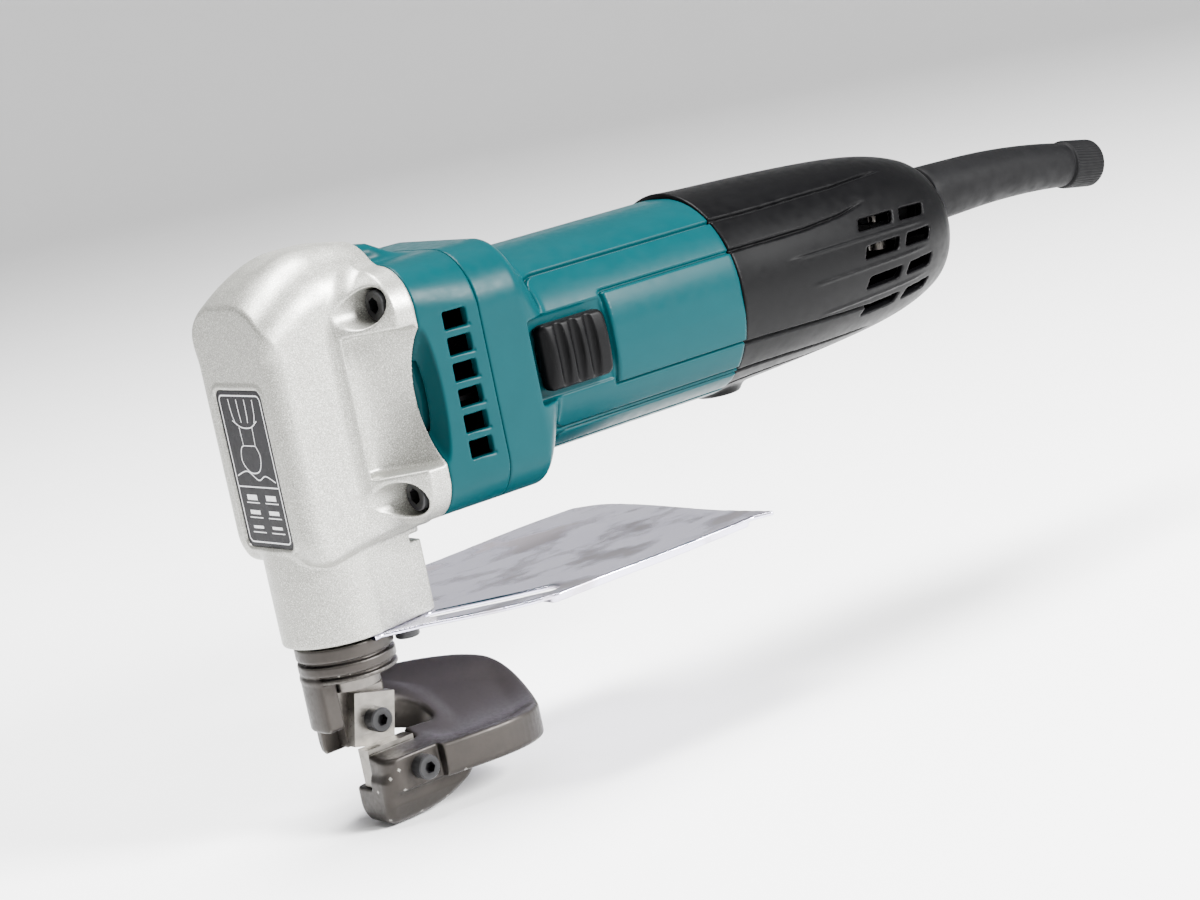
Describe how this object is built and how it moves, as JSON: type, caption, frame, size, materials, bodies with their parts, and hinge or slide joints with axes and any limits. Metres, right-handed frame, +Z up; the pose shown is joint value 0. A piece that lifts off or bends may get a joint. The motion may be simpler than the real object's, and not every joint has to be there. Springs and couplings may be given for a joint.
{
  "type": "electric metal shear",
  "caption": "Hand-held electric metal shear: offset gear head, C-shaped yoke with two short blades, polished sheet guide, slide switch and rubber cord guard.",
  "frame": {"origin": "on the flat foot under the lower blade, straight below the slider axis", "axes": "+Z up along the slider, +X back along the motor axis, -Y towards the side with the slide switch"},
  "size_m": [0.34, 0.0852, 0.1618],
  "materials": {
    "silver_paint": "satin silver paint with a fine metallic fleck on an aluminium casting",
    "teal_plastic": "satin moulded plastic, blue-green",
    "black_plastic": "satin moulded plastic, black",
    "rubber": "matt black rubber",
    "label": "dark printed foil with light line drawings",
    "black_oxide": "oiled black oxide",
    "yoke_steel": "forged and blasted steel, worn bright on its edges",
    "bronze": "sintered bronze or brass",
    "machined_steel": "turned and ground steel",
    "blade_steel": "ground tool steel",
    "mirror_steel": "mirror polished stainless sheet",
    "bearing_steel": "polished bearing steel",
    "lamination_steel": "stacked electrical steel",
    "copper": "varnished copper",
    "carbon": "pressed carbon"
  },
  "bodies": {
    "root": {"armature_bearing_outer_rings": "bearing_steel", "baffle_plate": "black_plastic", "brush_holders": "bronze", "brush_spring_lower": "machined_steel", "brush_spring_upper": "machined_steel", "capacitor": "black_plastic", "clamp_saddle": "black_plastic", "clamp_screws": "machined_steel", "cord_clamp": "black_plastic", "cord_guard": "rubber", "crank_bearing_outer_rings": "bearing_steel", "field_coils": "copper", "field_stator": "lamination_steel", "gear_housing": "silver_paint", "gear_housing_cover": "teal_plastic", "guide_plate": "mirror_steel", "guide_plate_screws": "black_oxide", "housing_screws": "black_oxide", "label_plate": "label", "lower_blade": "blade_steel", "lower_blade_bolt": "black_oxide", "motor_housing": "teal_plastic", "rear_cover": "black_plastic", "rear_cover_screw": "black_oxide", "slider_bush": "bronze", "switch_body": "black_plastic", "switch_bracket": "black_plastic", "yoke": "yoke_steel", "yoke_clamp_bolts": "black_oxide"},
    "armature": {"armature_shaft": "machined_steel", "armature_core": "lamination_steel", "armature_winding": "copper", "commutator": "copper", "cooling_fan": "black_plastic", "armature_bearing_inner_rings": "bearing_steel", "armature_bearing_balls": "bearing_steel"},
    "crank": {"crank_shaft": "machined_steel", "crank_gear": "machined_steel", "roller_clip": "black_oxide", "crank_bearing_inner_rings": "bearing_steel", "crank_bearing_balls": "bearing_steel"},
    "roller": {"eccentric_roller": "bearing_steel"},
    "ram": {"slider": "machined_steel", "upper_blade": "blade_steel", "upper_blade_bolt": "black_oxide"},
    "switch": {"switch_knob": "black_plastic", "switch_rod": "black_plastic", "switch_slide": "black_plastic"},
    "brush_upper": {"carbon_brush_upper": "carbon"},
    "brush_lower": {"carbon_brush_lower": "carbon"}
  },
  "joints": [
    {"name": "armature_spin", "type": "hinge", "parent": "root", "child": "armature", "pos_m": [0.083, 0, 0.117], "axis": [1, 0, 0], "continuous": true},
    {"name": "crank_spin", "type": "hinge", "parent": "root", "child": "crank", "pos_m": [0.0125, 0, 0.1352], "axis": [1, 0, 0], "continuous": true},
    {"name": "roller_spin", "type": "hinge", "parent": "crank", "child": "roller", "pos_m": [0, 0.002, 0.1352], "axis": [1, 0, 0], "continuous": true},
    {"name": "blade_stroke", "type": "slide", "parent": "root", "child": "ram", "axis": [0, 0, 1], "range_m": [-0.002, 0.002]},
    {"name": "switch_travel", "type": "slide", "parent": "root", "child": "switch", "axis": [-1, 0, 0], "range_m": [0, 0.004]},
    {"name": "brush_upper_feed", "type": "slide", "parent": "root", "child": "brush_upper", "axis": [0, 0, 1], "range_m": [0, 0.002], "stiffness_N_per_m": 300, "springref_m": -0.006, "deforming": ["brush_spring_upper"]},
    {"name": "brush_lower_feed", "type": "slide", "parent": "root", "child": "brush_lower", "axis": [0, 0, -1], "range_m": [0, 0.002], "stiffness_N_per_m": 300, "springref_m": -0.006, "deforming": ["brush_spring_lower"]}
  ],
  "couplings": [
    {"joint": "crank_spin", "follows": "armature_spin", "ratio": -0.2381}
  ]
}
